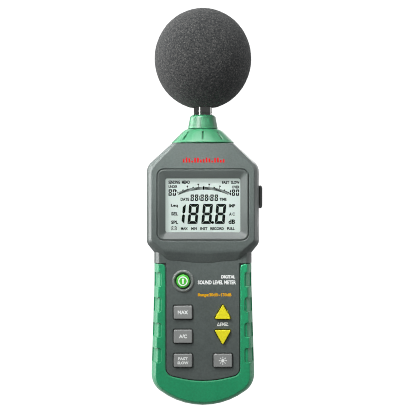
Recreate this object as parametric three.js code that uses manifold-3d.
// A hand-held digital sound level meter with a foam windscreen, in millimetres, +Z up.
// The front with the display and keys faces -Y and the microphone points up.
// The drawing heights below start at the bottom of the grip, and the drawing's Y = 0 plane is where the
// two housing halves meet. The exported group is shifted so that its origin is the tripod socket's mouth.
import * as THREE from "three";
import { mergeVertices } from "three/addons/utils/BufferGeometryUtils.js";
import Module from "manifold-3d";

const wasm = await Module();
wasm.setup();

// ---------------------------------------------------------------- driving dimensions
const FACE_Y = -18.5; // front plane of the display head
const PANEL_Y = -15; // front plane of the key panel
const BACK_Y = 18.5; // rear plane
const WALL = 2; // housing wall
const GAP = 0.3; // running gap between neighbouring pieces

const HEAD_HALF = 39.1; // half the head's width
const BODY_HALF = 34; // half the neck's width, and the grip's at its top
const GRIP_HALF = 36.2; // half the grip's width at its widest
const HEAD_TOP = 182; // where the housing ends and the nose cone begins
const NECK_BASE = 99.4; // lower edge of the neck, just above the grip jacket
const JACKET_TOP = 99;
const JACKET_FRONT = -15.6;
const EDGE_INSET = 4.6; // how far the front plane's edge lies inside the silhouette

const BASE_R = 49.7; // radius of the rounded bottom
const BASE_SLOPE = THREE.MathUtils.degToRad(37); // where that arc meets the corner arcs
const BASE_CORNER_R = 15;

const WINDOW_HALF = 25.7; // half the width of the key panel inside the jacket
const WINDOW_R = 69.7; // radius of the panel's rounded bottom
const WINDOW_CORNER_R = 6;

const DISPLAY_Z = 139.6; // middle of the display
const BEZEL = { width: 62.3, height: 48.4, corner: 4.5 };
const SCREEN = { width: 51.5, height: 37, corner: 1.2 };

const KEY_COLUMN = 13.7; // distance of both key columns from the middle
const KEY_SIZE = { width: 12.8, height: 9.2, corner: 0.9 };
const KEY_TOP_Y = PANEL_Y - 1.8;
const KEY_FLANGE_Y = PANEL_Y + WALL + 0.4; // front of the flange that keeps a key in
const ARROW = { half: 5.7, height: 10.1, corner: 0.7 };
const POWER_KEY_R = 4.6;
const POWER_COLLAR = { outer: 7.6, crest: 6.6, inner: 5.5, height: 1.3 };

const MIC_R = 6.4; // half-inch microphone
const MIC_TOP = 243;
const COLLAR_TOP = 202.2;
const CONE_TOP = 192.3;
const BALL = { z: 241.8, radius: 34, up: 35.4, down: 35.6 };

const LENS = { front: FACE_Y + 3.3, back: FACE_Y + 4.5 };
const LCD = { front: LENS.back + 0.9, back: LENS.back + 3.1 };
const BOARD = { front: -8, back: -6.4 };
const TRIPOD = { z: 125, bossR: 9, faceY: 18.9, boreR: 3.2, insertR: 5, depth: 9 };
const DOOR = { half: 21, bottom: 22, top: 84, inner: 15.9, outer: 17.8 };
const BATTERY = { width: 26.5, height: 48.5, front: -2.5, back: 15, bottom: 27 };
const HOOKS = [-13, 13]; // where the battery door's two hooks are
const COMPARTMENT = { half: 18.7, bottom: 24.4, top: 83.6, front: -4.9, wall: 1.7 };
const PORT = { z: 145.1, height: 15.8, depth: 13.6, outerX: 41.3 };
const LABEL_PLATE = { width: 44, height: 18, corner: 1, z: 155 };
const HOUSING_SCREWS = [
  [-32.3, 158], [32.3, 158], [-32.3, 119.5], [32.3, 119.5], [-17.5, 13.3], [17.5, 13.3],
];
const BOARD_SCREWS = [[-24.5, 165], [24.5, 165], [-20.5, 97.7], [20.5, 97.7]];

// ---------------------------------------------------------------- materials
const plastic = (color, roughness = 0.55) => new THREE.MeshStandardMaterial({ color, roughness });
const metal = (color, roughness = 0.3) =>
  new THREE.MeshStandardMaterial({ color, roughness, metalness: 1 });

const GREY = plastic(0x5c6461);
const DARK_GREY = plastic(0x515856);
const KEY_GREY = plastic(0x7c807f, 0.5);
const GREEN = plastic(0x1f9a62, 0.6);
const YELLOW = plastic(0xe2da24, 0.45);
const POWER_GREEN = plastic(0x35b544, 0.35);
const FOAM = plastic(0x3a3d3d, 1);
const BLACK_RUBBER = plastic(0x2b2f30, 0.8);
const BLACK_PLASTIC = plastic(0x1d1f20, 0.5);
const WHITE_PLASTIC = plastic(0xe9ece8, 0.5);
const LCD_GREEN = plastic(0xd7e3dc, 0.35);
const CLEAR = new THREE.MeshStandardMaterial({
  color: 0xf4f8f6, roughness: 0.05, transparent: true, opacity: 0.3,
});
const BOARD_GREEN = plastic(0x1f6b3f, 0.5);
const SILICONE = plastic(0x8d9290, 0.8);
const CHROME = metal(0xc9ccd0, 0.12);
const STEEL = metal(0xa9abac, 0.35);
const BRASS = metal(0xb8923e, 0.3);
const TIN = metal(0xb9bbb8, 0.4);
const RED_WIRE = plastic(0xb3261e, 0.5);
const BATTERY_SKIN = metal(0x32527a, 0.45);
const LABEL = plastic(0xc7cac9, 0.5);

// ---------------------------------------------------------------- solids
// A closed three.js geometry as a solid that can be cut and joined.
function solid(geometry) {
  const bare = geometry.clone();
  for (const name of ["normal", "uv"]) bare.deleteAttribute(name);
  const merged = mergeVertices(bare, 1e-4);
  const mesh = new wasm.Mesh({
    numProp: 3,
    vertProperties: new Float32Array(merged.attributes.position.array),
    triVerts: new Uint32Array(merged.index.array),
  });
  return new wasm.Manifold(mesh);
}

// The geometry of a solid, for a mesh.
function geometryOf(body) {
  const mesh = body.getMesh();
  const geometry = new THREE.BufferGeometry();
  geometry.setAttribute("position", new THREE.BufferAttribute(mesh.vertProperties, 3));
  geometry.setIndex(new THREE.BufferAttribute(mesh.triVerts, 1));
  const flat = geometry.toNonIndexed();
  flat.computeVertexNormals();
  return flat;
}

const cut = (body, tools) => tools.reduce((rest, tool) => rest.subtract(tool), body);
const join = (bodies) => bodies.reduce((all, body) => all.add(body));

// ---------------------------------------------------------------- outlines in the XZ plane
// An outline is a list of corners, [x, z, radius, steps], that runs counterclockwise.
// Its points, with every corner that has a radius rounded in a number of steps.
function rounded(corners) {
  return corners.flatMap(([x, z, radius, steps = 4], i) => {
    const here = new THREE.Vector2(x, z);
    if (!radius) return [here];
    const before = new THREE.Vector2(...corners.at(i - 1).slice(0, 2)).sub(here).normalize();
    const after = new THREE.Vector2(...corners[(i + 1) % corners.length].slice(0, 2)).sub(here).normalize();
    const half = Math.acos(THREE.MathUtils.clamp(before.dot(after), -1, 1)) / 2;
    const middle = before.clone().add(after).normalize();
    const centre = here.clone().addScaledVector(middle, radius / Math.sin(half));
    const start = here.clone().addScaledVector(before, radius / Math.tan(half)).sub(centre);
    const turn = Math.sign(after.cross(before)) * (Math.PI - 2 * half);
    return Array.from({ length: steps + 1 }, (_, k) =>
      start.clone().rotateAround(new THREE.Vector2(), (turn * k) / steps).add(centre));
  });
}

// The outline moved inwards by a distance, or outwards by a negative one, with its arcs kept concentric.
function inset(corners, distance) {
  return corners.map(([x, z, radius, steps], i) => {
    const from = corners.at(i - 1);
    const to = corners[(i + 1) % corners.length];
    const first = new THREE.Vector2(from[1] - z, x - from[0]).normalize();
    const second = new THREE.Vector2(z - to[1], to[0] - x).normalize();
    const middle = first.clone().add(second).normalize();
    const reach = distance / middle.dot(first);
    const change = first.cross(second) > 0 ? -distance : distance;
    const kept = radius ? Math.max(radius + change, 0.15) : 0;
    return [x + middle.x * reach, z + middle.y * reach, kept, steps];
  });
}

// The full outline of a shape that is the same on both sides, from its right half's corners, bottom first.
function mirrored(half) {
  const left = half.filter(([x]) => x > 0).reverse().map(([x, ...rest]) => [-x, ...rest]);
  return [...half, ...left];
}

const rectangle = ({ width, height, corner = 0 }, x = 0, z = 0, steps = 4) => [
  [x - width / 2, z - height / 2, corner, steps], [x + width / 2, z - height / 2, corner, steps],
  [x + width / 2, z + height / 2, corner, steps], [x - width / 2, z + height / 2, corner, steps],
];

const circle = (radius, x = 0, z = 0, steps = 20) =>
  Array.from({ length: steps }, (_, k) => {
    const angle = (2 * Math.PI * k) / steps;
    return [x + radius * Math.cos(angle), z + radius * Math.sin(angle), 0];
  });

// ---------------------------------------------------------------- shapes
// A closed skin over rings of the same number of points. axis names the direction the rings are stacked in.
function skin(rings, axis = "y") {
  const count = rings[0].length;
  const index = [];
  for (let k = 0; k + 1 < rings.length; k++)
    for (let i = 0; i < count; i++) {
      const j = (i + 1) % count;
      const [a, b, c, d] = [i, j, j + count, i + count].map((n) => n + k * count);
      index.push(a, b, c, a, c, d);
    }
  const across = axis === "y" ? "z" : "y";
  for (const [ring, up] of [[0, false], [rings.length - 1, true]]) {
    const flat = rings[ring].map((p) => new THREE.Vector2(p.x, p[across]));
    for (const [i, j, k] of THREE.ShapeUtils.triangulateShape(flat, [])) {
      const [a, b, c] = [i, j, k].map((n) => flat[n]);
      const left = b.clone().sub(a).cross(c.clone().sub(a)) > 0;
      const face = left === up ? [i, j, k] : [i, k, j];
      index.push(...face.map((n) => n + ring * count));
    }
  }
  const geometry = new THREE.BufferGeometry();
  const positions = rings.flat().flatMap((p) => p.toArray());
  geometry.setAttribute("position", new THREE.Float32BufferAttribute(positions, 3));
  const forwards = rings.at(-1)[0][axis] > rings[0][0][axis];
  if (forwards === (axis === "y")) index.reverse();
  geometry.setIndex(index);
  return geometry;
}

// A body whose outline changes with depth: levels are [inset, y] pairs.
const slab = (outline, levels) =>
  solid(skin(levels.map(([d, y]) =>
    rounded(inset(outline, d)).map((p) => new THREE.Vector3(p.x, y, p.y)))));

// A body between two outlines: levels are [share of the way to the second, y] pairs.
function blended(first, second, levels) {
  const ends = rounded(second);
  return solid(skin(levels.map(([share, y]) =>
    rounded(first).map((p, i) => {
      const at = p.lerp(ends[i], share);
      return new THREE.Vector3(at.x, y, at.y);
    }))));
}

// A flat plate with an XZ outline, from one depth to another, with holes through it.
function plate(outline, front, back, holes = []) {
  const shape = new THREE.Shape(rounded(outline));
  shape.holes = holes.map((hole) => new THREE.Path(rounded(hole)));
  const geometry = new THREE.ExtrudeGeometry(shape, { depth: back - front, bevelEnabled: false });
  return geometry.rotateX(Math.PI / 2).translate(0, back, 0);
}
const block = (outline, front, back, holes) => solid(plate(outline, front, back, holes));

// A box from its lowest to its highest corner.
function box([x0, y0, z0], [x1, y1, z1]) {
  const geometry = new THREE.BoxGeometry(x1 - x0, y1 - y0, z1 - z0);
  return geometry.translate((x0 + x1) / 2, (y0 + y1) / 2, (z0 + z1) / 2);
}

// A turned piece about the Z axis, from [radius, z] pairs that go once round its section.
function turned(profile, steps = 24) {
  const points = [...profile, profile[0]].map(([r, z]) => new THREE.Vector2(r, z));
  return new THREE.LatheGeometry(points, steps).rotateX(Math.PI / 2);
}

// A rod along Y at (x, z).
const rod = (radius, x, z, front, back, steps = 12) => block(circle(radius, x, z, steps), front, back);

// A round wire along a smooth curve through points.
function wire(radius, points, steps) {
  const section = new THREE.Shape(rounded(circle(radius, 0, 0, 8)));
  const path = new THREE.CatmullRomCurve3(points.map((p) => new THREE.Vector3(...p)));
  return new THREE.ExtrudeGeometry(section, { steps, bevelEnabled: false, extrudePath: path });
}

// ---------------------------------------------------------------- the housing's outlines
const BASE_CORNERS = [
  [0, BASE_R * (1 - 1 / Math.cos(BASE_SLOPE)), BASE_R, 8],
  [GRIP_HALF, 14.7, BASE_CORNER_R, 5],
  [BODY_HALF, 86, 80, 1],
];
const bodyOutline = (top) => mirrored([...BASE_CORNERS, [BODY_HALF, top, 0]]);

const WINDOW_CORNERS = [[0, 16.6, WINDOW_R, 4], [WINDOW_HALF, 22.3, WINDOW_CORNER_R, 3]];
const windowOutline = (top) => mirrored([...WINDOW_CORNERS, [WINDOW_HALF, top, 0]]);
const JACKET_WINDOW = mirrored([
  ...WINDOW_CORNERS, [WINDOW_HALF, JACKET_TOP - 0.2, 3.2, 4], [GRIP_HALF + 4, JACKET_TOP, 0],
  [GRIP_HALF + 4, NECK_BASE + 8, 0],
]);

// The head at the parting plane, running down behind the key panel, and its front plane above the chin.
const HEAD_BASE = mirrored([
  [0, 89.9, 80, 4], [25, 94, 8, 2], [BODY_HALF, 106.5, 3, 2], [HEAD_HALF, 113, 5.6, 3],
  [HEAD_HALF, 166.4, 9.4, 4], [21.8, HEAD_TOP, 1, 1],
]);
const HEAD_FACE = mirrored([
  [0, 106.5, 160, 4], [29, 107.9, 6, 2], [31.8, 111.2, 3, 2], [HEAD_HALF - EDGE_INSET, 114.5, 4.5, 3],
  [HEAD_HALF - EDGE_INSET, 164.3, 7, 4], [18.2, HEAD_TOP - 0.4, 1, 1],
]);
const REAR_HEAD = mirrored([
  [BODY_HALF, NECK_BASE, 0], [BODY_HALF, 106.5, 2, 2], [HEAD_HALF, 113, 5.6, 3],
  [HEAD_HALF, 166.4, 9.4, 4], [21.8, HEAD_TOP, 1, 1],
]);

// How the silhouette steps in towards the front and the back: [share of EDGE_INSET, y].
const FRONT_EDGE = [[0, -GAP / 2], [0.09, -9], [0.65, FACE_Y + 1.8], [1, FACE_Y]];
const REAR_EDGE = [[0, GAP / 2], [0.12, 11], [0.5, BACK_Y - 2.2], [1, BACK_Y]];
const thinned = (edge) => edge.map(([share, y]) => [share, Math.abs(y) > 12 ? y - Math.sign(y) * WALL : y]);

// The neck: straight at the top and bottom, stepped in at the sides like the head.
const neckBetween = (edge, scale, bottom, top, half) =>
  solid(skin(edge.map(([share, y]) => {
    const x = half - share * EDGE_INSET;
    const corners = [[-x, bottom], [x, bottom], [x, top], [-x, top]];
    return corners.map(([cx, cz]) => new THREE.Vector3(cx, y * scale, cz));
  })));

// The part of the housing that the grip jacket covers: side is -1 for the front half, 1 for the rear one.
const CORE_LEVELS = [
  [6, -13.7], [5.2, -13.1], [3, -5], [2.8, 0], [2.9, 6], [3.3, 12], [5.2, 16.2], [6, 16.6],
];
function core(side) {
  const half = CORE_LEVELS.filter(([, y]) => y * side > 0);
  const middle = [2.8, (side * GAP) / 2];
  return slab(bodyOutline(108), side < 0 ? [...half, middle] : [middle, ...half]);
}
const jacketRoom = () =>
  slab(bodyOutline(108), CORE_LEVELS.map(([d, y]) => [d - GAP, y + Math.sign(y) * GAP]));

// ---------------------------------------------------------------- the two housing halves
const barKey = (x, z) => rectangle(KEY_SIZE, x, z, 2);

// A triangle that points up or down, with the middle of its height at z.
function arrow(x, z, up) {
  const reach = (up ? 1 : -1) * ARROW.height / 2;
  const corners = [
    [x - ARROW.half, z - reach, ARROW.corner, 2], [x + ARROW.half, z - reach, ARROW.corner, 2],
    [x, z + reach, ARROW.corner, 2],
  ];
  return up ? corners : corners.reverse();
}

const KEYS = {
  power_key: { x: -KEY_COLUMN, z: 87.1, outline: (x, z) => circle(POWER_KEY_R, x, z, 20) },
  max_key: { x: -KEY_COLUMN, z: 65.6, outline: barKey },
  weighting_key: { x: -KEY_COLUMN, z: 49.1, outline: barKey },
  response_key: { x: -KEY_COLUMN, z: 32.5, outline: barKey },
  backlight_key: { x: KEY_COLUMN, z: 32.5, outline: barKey },
  level_up_key: { x: KEY_COLUMN, z: 66.1, outline: (x, z) => arrow(x, z, true) },
  level_down_key: { x: KEY_COLUMN, z: 48.4, outline: (x, z) => arrow(x, z, false) },
};

// The opening in the top of the housing that the nose cone's spigot fills.
const SPIGOT = { x: 17.5, y: 14.5, bottom: 174 };
const ovalRing = (rx, ry, z, power = 2.4, steps = 28) =>
  Array.from({ length: steps }, (_, k) => {
    const angle = (2 * Math.PI * k) / steps;
    const bulge = (v) => Math.sign(v) * Math.abs(v) ** (2 / power);
    return new THREE.Vector3(rx * bulge(Math.cos(angle)), ry * bulge(Math.sin(angle)), z);
  });
const neckOpening = () => solid(skin([
  ovalRing(SPIGOT.x + GAP, SPIGOT.y + GAP, HEAD_TOP - 12),
  ovalRing(SPIGOT.x + GAP, SPIGOT.y + GAP, HEAD_TOP + 5),
], "z"));

const portOpening = () => {
  const half = PORT.depth / 2 - 1.3;
  return solid(box([30, -half, PORT.z - 6.5], [HEAD_HALF + 5, half, PORT.z + 6.5]));
};

function frontHousing() {
  const outside = join([
    blended(HEAD_BASE, HEAD_FACE, FRONT_EDGE),
    neckBetween(FRONT_EDGE, PANEL_Y / FACE_Y, NECK_BASE, 113, BODY_HALF),
    core(-1),
    slab(inset(windowOutline(107), 0.5), [[0, -5], [0, PANEL_Y + 0.5], [0.5, PANEL_Y]]),
  ]);
  const hollow = join([
    blended(inset(HEAD_BASE, WALL), inset(HEAD_FACE, WALL - 0.8), [[0, 1], ...thinned(FRONT_EDGE.slice(1))]),
    slab(bodyOutline(112), [[4.8, 1], [5, -5], [7.5, -11.2], [8.7, -11.6]]),
    slab(inset(windowOutline(107), 2.5), [[0, -5], [0, PANEL_Y + WALL]]),
  ]);
  const inHead = (z) => z > NECK_BASE + 1;
  const bosses = HOUSING_SCREWS.map(([x, z]) => rod(3, x, z, inHead(z) ? FACE_Y + 1.8 : -12.2, -GAP));
  const pilots = HOUSING_SCREWS.map(([x, z]) => rod(1.6, x, z, -10, 1));
  const posts = BOARD_SCREWS.map(([x, z]) =>
    rod(2.6, x, z, inHead(z) ? FACE_Y + 2 : PANEL_Y + 1.8, BOARD.front - GAP));
  const postPilots = BOARD_SCREWS.map(([x, z]) => rod(1.3, x, z, BOARD.front - 4.5, BOARD.front + 1));
  const keyHoles = Object.values(KEYS).map(({ x, z, outline }) =>
    block(inset(outline(x, z), -0.35), PANEL_Y - 3, PANEL_Y + 4));
  const display = [
    block(inset(rectangle(BEZEL, 0, DISPLAY_Z), -0.35), FACE_Y - 1, FACE_Y + 1.4),
    block(rectangle({ width: 60, height: 46, corner: 3.4 }, 0, DISPLAY_Z), FACE_Y - 1, FACE_Y + 5),
  ];
  const body = cut(outside, [hollow]);
  return cut(join([body, ...bosses, ...posts]), [
    ...pilots, ...postPilots, ...keyHoles, ...display, neckOpening(), portOpening(),
  ]);
}

function rearHousing() {
  const windowEdge = inset(windowOutline(NECK_BASE + 4), 0.5);
  const outside = join([
    slab(REAR_HEAD, REAR_EDGE.map(([share, y]) => [share * EDGE_INSET, y])),
    neckBetween(REAR_EDGE, 1, NECK_BASE, 113, BODY_HALF),
    core(1),
    slab(windowEdge, [[0, 5], [0, BACK_Y - 0.8], [0.5, BACK_Y - GAP]]),
  ]);
  const hollow = join([
    slab(inset(REAR_HEAD, WALL), [[0, -1], ...thinned(REAR_EDGE.slice(1))].map(([share, y]) =>
      [share * (EDGE_INSET - 0.8), y])),
    slab(bodyOutline(112), [[4.8, -1], [4.9, 6], [5.3, 11], [7.2, 14.2], [8, 14.6]]),
  ]);
  const { half, bottom, top, front, wall } = COMPARTMENT;
  const bay = solid(box([-half, front, bottom], [half, 17, top]));
  const bayRoom = solid(box([-half + wall, front + wall, bottom + wall], [half - wall, 20, top - wall]));
  const doorway = block(
    rectangle({ width: 2 * DOOR.half + 0.8, height: DOOR.top - DOOR.bottom + 0.8, corner: 2.4 },
      0, (DOOR.top + DOOR.bottom) / 2), DOOR.inner - GAP, BACK_Y + 2);
  const hookSlots = HOOKS.map((x) =>
    solid(box([x - 3.3, 14.8, DOOR.bottom - 1.9], [x + 3.3, 17.2, DOOR.bottom + 1])));
  const wells = HOUSING_SCREWS.map(([x, z]) => rod(4.2, x, z, GAP, z > NECK_BASE ? BACK_Y - 1 : 15.4));
  const counterbores = HOUSING_SCREWS.map(([x, z]) => rod(3.1, x, z, 6, BACK_Y + 1));
  const clearances = HOUSING_SCREWS.map(([x, z]) => rod(1.7, x, z, -1, 8));
  const leadHole = solid(box([-6, 2, top - 4], [6, 8, top + 2]));
  const boss = rod(TRIPOD.bossR, 0, TRIPOD.z, BACK_Y - 1, TRIPOD.faceY, 32);
  const seat = rod(TRIPOD.bossR - 1.5, 0, TRIPOD.z, BACK_Y - TRIPOD.depth - 1, BACK_Y - 1, 24);
  const seatBore = rod(TRIPOD.insertR + GAP, 0, TRIPOD.z, BACK_Y - TRIPOD.depth, BACK_Y + 2, 24);
  const labelBed = block(inset(rectangle(LABEL_PLATE, 0, LABEL_PLATE.z), -GAP), BACK_Y - 0.4, BACK_Y + 1);
  const shell = cut(outside, [hollow]);
  return cut(join([shell, bay, ...wells, boss, seat]), [
    bayRoom, doorway, ...hookSlots, ...counterbores, ...clearances, leadHole, seatBore, labelBed,
    neckOpening(), portOpening(),
  ]);
}

// ---------------------------------------------------------------- the soft grip
const JACKET_LEVELS = [
  [4.2, JACKET_FRONT], [2.6, -13.8], [0.5, -6], [0, 0], [0.5, 11], [2.2, BACK_Y - 2.2], [4.2, BACK_Y],
];
const GRIP_PADS = { first: 35.9, pitch: 17.4, count: 4, height: 10.1, edge: 28.8, depth: 0.7 };

function gripJacket() {
  const outline = bodyOutline(115);
  const outside = slab(outline, JACKET_LEVELS);
  const inner = slab(outline, JACKET_LEVELS.map(([d, y]) =>
    [d + GRIP_PADS.depth, y + (y < -12 ? GRIP_PADS.depth : 0)]));
  const pads = [];
  for (let k = 0; k < GRIP_PADS.count; k++)
    for (const side of [-1, 1]) {
      const size = { width: 12, height: GRIP_PADS.height, corner: 1.6 };
      const pad = rectangle(size, side * (GRIP_PADS.edge + 6), GRIP_PADS.first + k * GRIP_PADS.pitch, 3);
      pads.push(block(pad, JACKET_FRONT - 2, -4).subtract(inner));
    }
  return cut(outside, [
    jacketRoom(),
    block(JACKET_WINDOW, -30, -8), block(JACKET_WINDOW, 8, 30),
    solid(box([-50, -30, JACKET_TOP], [50, 30, 140])),
    ...pads, ...HOUSING_SCREWS.slice(4).map(([x, z]) => rod(3.4, x, z, 10, 30)),
  ]);
}

// ---------------------------------------------------------------- microphone and nose
function noseCone() {
  const outside = solid(skin([
    ovalRing(SPIGOT.x, SPIGOT.y, SPIGOT.bottom), ovalRing(SPIGOT.x, SPIGOT.y, HEAD_TOP + GAP),
    ovalRing(21.5, 18.3, HEAD_TOP + GAP), ovalRing(21.6, 18.4, HEAD_TOP + 1, 2.4),
    ovalRing(13.7, 13.4, CONE_TOP - 1.5, 2), ovalRing(12.6, 12.5, CONE_TOP - 0.5, 2),
    ovalRing(11, 11, CONE_TOP, 2),
  ], "z"));
  const inside = solid(skin([
    ovalRing(SPIGOT.x - 2, SPIGOT.y - 2, SPIGOT.bottom - 1),
    ovalRing(SPIGOT.x - 2, SPIGOT.y - 2, HEAD_TOP - 1),
    ovalRing(10.6, 10.6, CONE_TOP - 3.3, 2),
  ], "z"));
  const bore = solid(turned([[0, 180], [MIC_R + 0.35, 180], [MIC_R + 0.35, 200], [0, 200]], 24));
  // Grip notches that follow the slope, every 40 degrees from the front.
  const notches = Array.from({ length: 9 }, (_, k) => {
    const notch = new THREE.BoxGeometry(1.5, 3.4, 5.2);
    notch.rotateX(THREE.MathUtils.degToRad(-43)).translate(0, -18.1, 187.6);
    notch.rotateZ(THREE.MathUtils.degToRad(40 * k));
    return solid(notch);
  });
  return cut(outside, [inside, bore, ...notches]);
}

const micCollar = () => turned([
  [MIC_R + 0.35, CONE_TOP + GAP], [10.4, CONE_TOP + GAP], [9.3, 199.6], [8.9, 200.9], [8.1, 201.8],
  [7.2, COLLAR_TOP], [MIC_R + 0.35, COLLAR_TOP],
]);

const micTube = () => turned([
  [5.4, 178], [MIC_R, 178], [MIC_R, 185], [8.3, 185], [8.3, 187], [MIC_R, 187], [MIC_R, 232], [5.4, 232],
]);

const micCapsule = () => turned([
  [0, 228], [5.1, 228], [5.1, 232 + GAP], [MIC_R - 0.1, 232 + GAP], [MIC_R - 0.1, 239.6], [0, 239.6],
]);

function micGrid() {
  const cap = solid(turned([
    [5.6, 239.9], [MIC_R, 239.9], [MIC_R, MIC_TOP - 0.5], [MIC_R - 0.5, MIC_TOP], [0, MIC_TOP],
    [0, MIC_TOP - 0.9], [5.6, MIC_TOP - 0.9],
  ]));
  const slots = [-3, -1.5, 0, 1.5, 3].map((x) => {
    const reach = Math.sqrt(4.6 ** 2 - x ** 2);
    return solid(box([x - 0.35, -reach, MIC_TOP - 2], [x + 0.35, reach, MIC_TOP + 1]));
  });
  return cut(cap, slots);
}

// The foam ball: an egg-like turned body with a blind bore for the microphone and a dimple round its mouth.
function windscreen() {
  const boreR = MIC_R + 0.4;
  const mouthZ = 207.4;
  const profile = [[0, MIC_TOP + 0.4], [boreR, MIC_TOP + 0.4], [boreR, mouthZ + 1.6], [boreR + 1.6, mouthZ]];
  const steps = 16;
  const startAngle = -Math.acos((boreR + 3) / BALL.radius);
  for (let k = 0; k <= steps; k++) {
    const angle = startAngle + ((Math.PI / 2 - startAngle) * k) / steps;
    const height = angle < 0 ? BALL.down : BALL.up;
    const radius = k === steps ? 0 : BALL.radius * Math.cos(angle);
    profile.push([radius, BALL.z + height * Math.sin(angle)]);
  }
  return turned(profile, 32);
}

// ---------------------------------------------------------------- display
function displayBezel() {
  const rim = rectangle(BEZEL, 0, DISPLAY_Z, 5);
  const frame = slab(rim, [[0, FACE_Y + 1.1], [0, FACE_Y + 0.4], [0.3, FACE_Y + 0.1]]);
  const tray = rectangle({ width: 59.4, height: 45.4, corner: 3.1 }, 0, DISPLAY_Z);
  const mouth = inset(rectangle(BEZEL, 0, DISPLAY_Z), 0.8);
  const throat = rectangle(SCREEN, 0, DISPLAY_Z - 0.4);
  const depths = [[0, FACE_Y - 1], [0, FACE_Y + 0.1], [1, FACE_Y + 2.6], [1, FACE_Y + 5]];
  const funnel = blended(mouth, throat, depths);
  return cut(join([frame, block(tray, FACE_Y + 0.6, FACE_Y + 3)]), [funnel]);
}

const displayLens = () =>
  plate(rectangle({ width: 55.4, height: 41, corner: 1.6 }, 0, DISPLAY_Z), LENS.front, LENS.back);
const lcdGlass = () => box([-27, LCD.front, DISPLAY_Z - 20.5], [27, LCD.back, DISPLAY_Z + 20.5]);
const lcdBacklight = () =>
  box([-26, LCD.back + GAP, DISPLAY_Z - 16.4], [26, BOARD.front - 0.4, DISPLAY_Z + 16.4]);
const zebraStrip = (side) => box(
  [-25, LCD.back + GAP, DISPLAY_Z + side * 18.4 - 1.3],
  [25, BOARD.front - GAP, DISPLAY_Z + side * 18.4 + 1.3]);
const lcdFrame = () => plate(
  rectangle({ width: 57.4, height: 44.4, corner: 1 }, 0, DISPLAY_Z), LCD.front + 0.2, BOARD.front - GAP,
  [rectangle({ width: 54.7, height: 41.7 }, 0, DISPLAY_Z)]);

// ---------------------------------------------------------------- keys
function keyCap(outline) {
  return join([
    slab(outline, [
      [0, KEY_FLANGE_Y + 0.5], [0, KEY_TOP_Y + 0.7], [0.25, KEY_TOP_Y + 0.2], [0.7, KEY_TOP_Y],
    ]),
    block(inset(outline, -1), KEY_FLANGE_Y, KEY_FLANGE_Y + 1),
  ]);
}

// A silicone mat that lies on the board, with a dome under each key.
function keypadMat() {
  const sheet = block(rectangle({ width: 43, height: 70, corner: 2 }, 0, 59), -9.6, BOARD.front - GAP);
  const domes = Object.values(KEYS).map(({ x, z }) => rod(3, x, z, -10.4, -9));
  return join([sheet, ...domes]);
}

function powerKeyCollar() {
  const { outer, crest, inner, height } = POWER_COLLAR;
  const profile = [
    [inner, 0.25], [outer, 0.25], [outer - 0.2, 0.7], [crest, height], [inner, 0.5],
  ];
  const ring = turned(profile, 24);
  return ring.rotateX(Math.PI / 2).translate(KEYS.power_key.x, PANEL_Y, KEYS.power_key.z);
}

// ---------------------------------------------------------------- electronics
const mainBoard = () => {
  const outline = [
    [-23, 24, 1], [23, 24, 1], [23, 112, 0], [28, 117, 0], [28, 168.5, 1], [-28, 168.5, 1], [-28, 117, 0],
    [-23, 112, 0],
  ];
  return plate(outline, BOARD.front, BOARD.back, BOARD_SCREWS.map(([x, z]) => circle(1.7, x, z, 12)));
};
const preampBoard = () => box([-8, 1, 146], [8, 2.2, 172]);
const chip = (x, z, width, height, thick) =>
  box([x - width / 2, BOARD.back + 0.1, z - height / 2],
    [x + width / 2, BOARD.back + 0.1 + thick, z + height / 2]);
const capacitor = (x, z) => {
  const can = new THREE.CylinderGeometry(2.5, 2.5, 6, 16);
  return can.translate(x, BOARD.back + 3.2, z);
};

// A cylinder along X whose middle is at (x, y, z).
const crossRod = (radius, length, [x, y, z], steps = 20) =>
  new THREE.CylinderGeometry(radius, radius, length, steps).rotateZ(Math.PI / 2).translate(x, y, z);

// A small board-edge socket for a 3.5 mm plug, reaching out towards the port.
const JACK = { y: -1.9, z: 148.6 };
function outputJack() {
  const body = solid(box([22, JACK.y - 4, JACK.z - 3.4], [34.6, JACK.y + 2.3, JACK.z + 3.2]));
  const barrel = solid(crossRod(2.9, 2.6, [35.6, JACK.y, JACK.z]));
  const bore = solid(crossRod(1.8, 13, [31.5, JACK.y, JACK.z], 16));
  return join([body, barrel]).subtract(bore);
}
const TRIMMER = { y: -1.9, z: 141.4 };
const trimmerBody = () =>
  box([28.4, TRIMMER.y - 3.2, TRIMMER.z - 3.2], [33.2, TRIMMER.y + 3.2, TRIMMER.z + 3]);
function trimmerRotor() {
  const rotor = crossRod(1.9, 3.2, [35.1, TRIMMER.y, TRIMMER.z]);
  const slot = box([36.1, TRIMMER.y - 0.35, TRIMMER.z - 1.5], [37.3, TRIMMER.y + 0.35, TRIMMER.z + 1.5]);
  return solid(rotor).subtract(solid(slot));
}
function portPlate() {
  const plateBody = solid(box([35.1, -6.1, PORT.z - 7.4], [36.6, 6.1, PORT.z + 7.4]));
  const jackHole = crossRod(3.2, 5, [36, JACK.y, JACK.z]);
  const toolHole = crossRod(2.2, 5, [36, TRIMMER.y, TRIMMER.z]);
  return cut(plateBody, [solid(jackHole), solid(toolHole)]);
}

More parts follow.
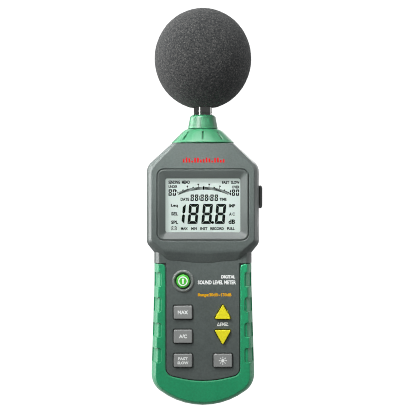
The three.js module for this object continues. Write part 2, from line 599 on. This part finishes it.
// The rubber cover over the socket: a bevelled flap with a plug that fills the opening.
function portCover() {
  const { z, height, depth, outerX } = PORT;
  const rim = HEAD_HALF + GAP;
  const flapRing = (x, end, side) => [
    [-depth / 2 + side, z - height / 2 + end], [depth / 2 - side, z - height / 2 + end],
    [depth / 2 - side, z + height / 2 - end], [-depth / 2 + side, z + height / 2 - end],
  ].map(([y, zz]) => new THREE.Vector3(y, x, zz));
  const flap = solid(skin([flapRing(rim, 0, 0), flapRing(outerX - 0.9, 0, 0), flapRing(outerX, 1.1, 0.5)]));
  const plug = solid(box([-5, rim - 1.8, z - 6], [5, rim + 0.5, z + 6]));
  // Both are drawn facing +Y, so a quarter turn faces them to the right.
  return geometryOf(join([flap, plug])).rotateZ(-Math.PI / 2);
}

// ---------------------------------------------------------------- battery bay
function batteryDoor() {
  const middle = (DOOR.top + DOOR.bottom) / 2;
  const outline = rectangle({ width: 2 * DOOR.half, height: DOOR.top - DOOR.bottom, corner: 2 }, 0, middle);
  const panel = slab(outline, [[0, DOOR.inner], [0, DOOR.outer - 0.4], [0.4, DOOR.outer]]);
  const hooks = HOOKS.map((x) =>
    solid(box([x - 3, DOOR.inner, DOOR.bottom - 1.4], [x + 3, 16.9, DOOR.bottom + 3])));
  const ribs = [-10, 10].map((x) =>
    solid(box([x - 0.6, DOOR.inner - 0.5, 32], [x + 0.6, DOOR.inner + 0.5, 74])));
  const recess = rectangle({ width: 15, height: 5.5, corner: 2.4 }, 0, DOOR.top - 6.5);
  const thumb = block(recess, DOOR.outer - 0.9, DOOR.outer + 1);
  return cut(join([panel, ...hooks, ...ribs]), [thumb]);
}

function batteryCase() {
  const { width, height, front, back, bottom } = BATTERY;
  return box([-width / 2, front, bottom], [width / 2, back, bottom + height]);
}
const TERMINAL_Z = BATTERY.bottom + BATTERY.height + 0.1;
const TERMINAL_Y = (BATTERY.front + BATTERY.back) / 2;
const terminal = (x, radius, height) =>
  turned([[0, TERMINAL_Z], [radius, TERMINAL_Z], [radius, TERMINAL_Z + height], [0, TERMINAL_Z + height]], 16)
    .translate(x, TERMINAL_Y, 0);
const batterySnap = () =>
  box([-12.5, TERMINAL_Y - 6, TERMINAL_Z + 3], [12.5, TERMINAL_Y + 6, TERMINAL_Z + 5.4]);

// ---------------------------------------------------------------- fasteners
// A pan-head screw along Y with its head's seat at the origin and a cross recess in the head.
function screw(headR, headHeight, shankR, length) {
  const body = solid(turned([
    [0, -length], [shankR, -length + 1], [shankR, 0], [headR, 0], [headR * 0.8, headHeight], [0, headHeight],
  ], 10));
  const blade = (x, y) => solid(box([-x, -y, headHeight * 0.45], [x, y, headHeight + 1]));
  const cross = join([blade(headR * 0.6, 0.35), blade(0.35, headR * 0.6)]);
  return geometryOf(body.subtract(cross)).rotateX(-Math.PI / 2);
}

const tripodInsert = () => block(
  circle(TRIPOD.insertR, 0, TRIPOD.z, 24), BACK_Y - TRIPOD.depth + GAP, TRIPOD.faceY - 0.5,
  [circle(TRIPOD.boreR, 0, TRIPOD.z, 24)]);

// ---------------------------------------------------------------- assembly
const meter = new THREE.Group();

function piece(name, shape, material, parent = meter) {
  const geometry = shape.isBufferGeometry ? shape : geometryOf(shape);
  const mesh = new THREE.Mesh(geometry, material);
  mesh.name = name;
  parent.add(mesh);
  return mesh;
}

function group() {
  const made = new THREE.Group();
  meter.add(made);
  return made;
}

const casing = group();
piece("front_housing", frontHousing(), GREY, casing);
piece("rear_housing", rearHousing(), GREY, casing);
piece("grip_jacket", gripJacket(), GREEN, casing);
piece("tripod_insert", tripodInsert(), BRASS, casing);
const rearLabel = plate(rectangle(LABEL_PLATE, 0, LABEL_PLATE.z), BACK_Y - 0.1, BACK_Y + 0.1);
piece("rear_label", rearLabel, LABEL, casing);

const nose = group();
piece("nose_cone", noseCone(), GREEN, nose);
piece("mic_collar", micCollar(), GREEN, nose);
piece("mic_tube", micTube(), CHROME, nose);
piece("mic_capsule", micCapsule(), STEEL, nose);
piece("mic_grid", micGrid(), STEEL, nose);
const micRoute = [[0, 0, 227.6], [0, 0, 200], [0, 1, 185], [0, 1.6, 172.6]];
piece("mic_lead", wire(0.9, micRoute, 12), BLACK_RUBBER, nose);
piece("windscreen", windscreen(), FOAM, nose);

const display = group();
piece("display_bezel", displayBezel(), DARK_GREY, display);
piece("display_lens", displayLens(), CLEAR, display);
piece("lcd_glass", lcdGlass(), LCD_GREEN, display);
piece("lcd_backlight", lcdBacklight(), WHITE_PLASTIC, display);
piece("lcd_frame", lcdFrame(), BLACK_PLASTIC, display);
piece("zebra_strip_upper", zebraStrip(1), SILICONE, display);
piece("zebra_strip_lower", zebraStrip(-1), SILICONE, display);

const keypad = group();
const KEY_COLOURS = { power_key: POWER_GREEN, level_up_key: YELLOW, level_down_key: YELLOW };
for (const [name, { x, z, outline }] of Object.entries(KEYS))
  piece(name, keyCap(outline(x, z)), KEY_COLOURS[name] ?? KEY_GREY, keypad);
piece("power_key_collar", powerKeyCollar(), GREY, keypad);
piece("keypad_mat", keypadMat(), SILICONE, keypad);

const electronics = group();
piece("main_board", mainBoard(), BOARD_GREEN, electronics);
piece("preamp_board", preampBoard(), BOARD_GREEN, electronics);
piece("processor_chip", chip(-6, 136, 14, 14, 1.6), BLACK_PLASTIC, electronics);
piece("memory_chip", chip(-6, 120, 5, 6, 1.4), BLACK_PLASTIC, electronics);
piece("converter_chip", chip(10, 122, 6, 9, 1.5), BLACK_PLASTIC, electronics);
piece("shield_can", chip(0, 156.5, 20, 13, 4), TIN, electronics);
piece("clock_crystal", chip(-18, 137, 4.5, 10.5, 3.4), STEEL, electronics);
piece("filter_capacitor_1", capacitor(-16, 107), BLACK_PLASTIC, electronics);
piece("filter_capacitor_2", capacitor(-9, 107), BLACK_PLASTIC, electronics);
piece("output_jack", outputJack(), BLACK_PLASTIC, electronics);
piece("trimmer_body", trimmerBody(), BLACK_PLASTIC, electronics);
piece("trimmer_rotor", trimmerRotor(), BRASS, electronics);
piece("port_plate", portPlate(), BLACK_PLASTIC, electronics);
piece("port_cover", portCover(), BLACK_RUBBER, electronics);

const power = group();
piece("battery", batteryCase(), BATTERY_SKIN, power);
piece("battery_terminal_positive", terminal(-6.4, 2.8, 2.6), TIN, power);
piece("battery_terminal_negative", terminal(6.4, 3.8, 2.6), TIN, power);
piece("battery_snap", batterySnap(), BLACK_RUBBER, power);
piece("battery_door", batteryDoor(), GREY, power);
const leadStart = TERMINAL_Z + 5.8;
const batteryLeads = [["battery_lead_red", -3, RED_WIRE], ["battery_lead_black", 3, BLACK_RUBBER]];
for (const [name, x, colour] of batteryLeads) {
  const start = [[x, 5, leadStart], [x, 5, leadStart + 4]];
  const route = [...start, [x * 1.5, 2, 93], [x * 2, -2, 97], [x * 2, -5.6, 99]];
  piece(name, wire(0.7, route, 12), colour, power);
}

const fasteners = group();
const HOUSING_SCREW = screw(2.8, 2, 1.3, 14);
HOUSING_SCREWS.forEach(([x, z], i) => {
  piece(`housing_screw_${i + 1}`, HOUSING_SCREW, STEEL, fasteners).position.set(x, 6 + GAP, z);
});
const BOARD_SCREW = screw(2.2, 1.5, 1, 5);
BOARD_SCREWS.forEach(([x, z], i) => {
  piece(`board_screw_${i + 1}`, BOARD_SCREW, STEEL, fasteners).position.set(x, BOARD.back + GAP, z);
});

meter.position.set(0, -TRIPOD.faceY, -TRIPOD.z);

export default meter;
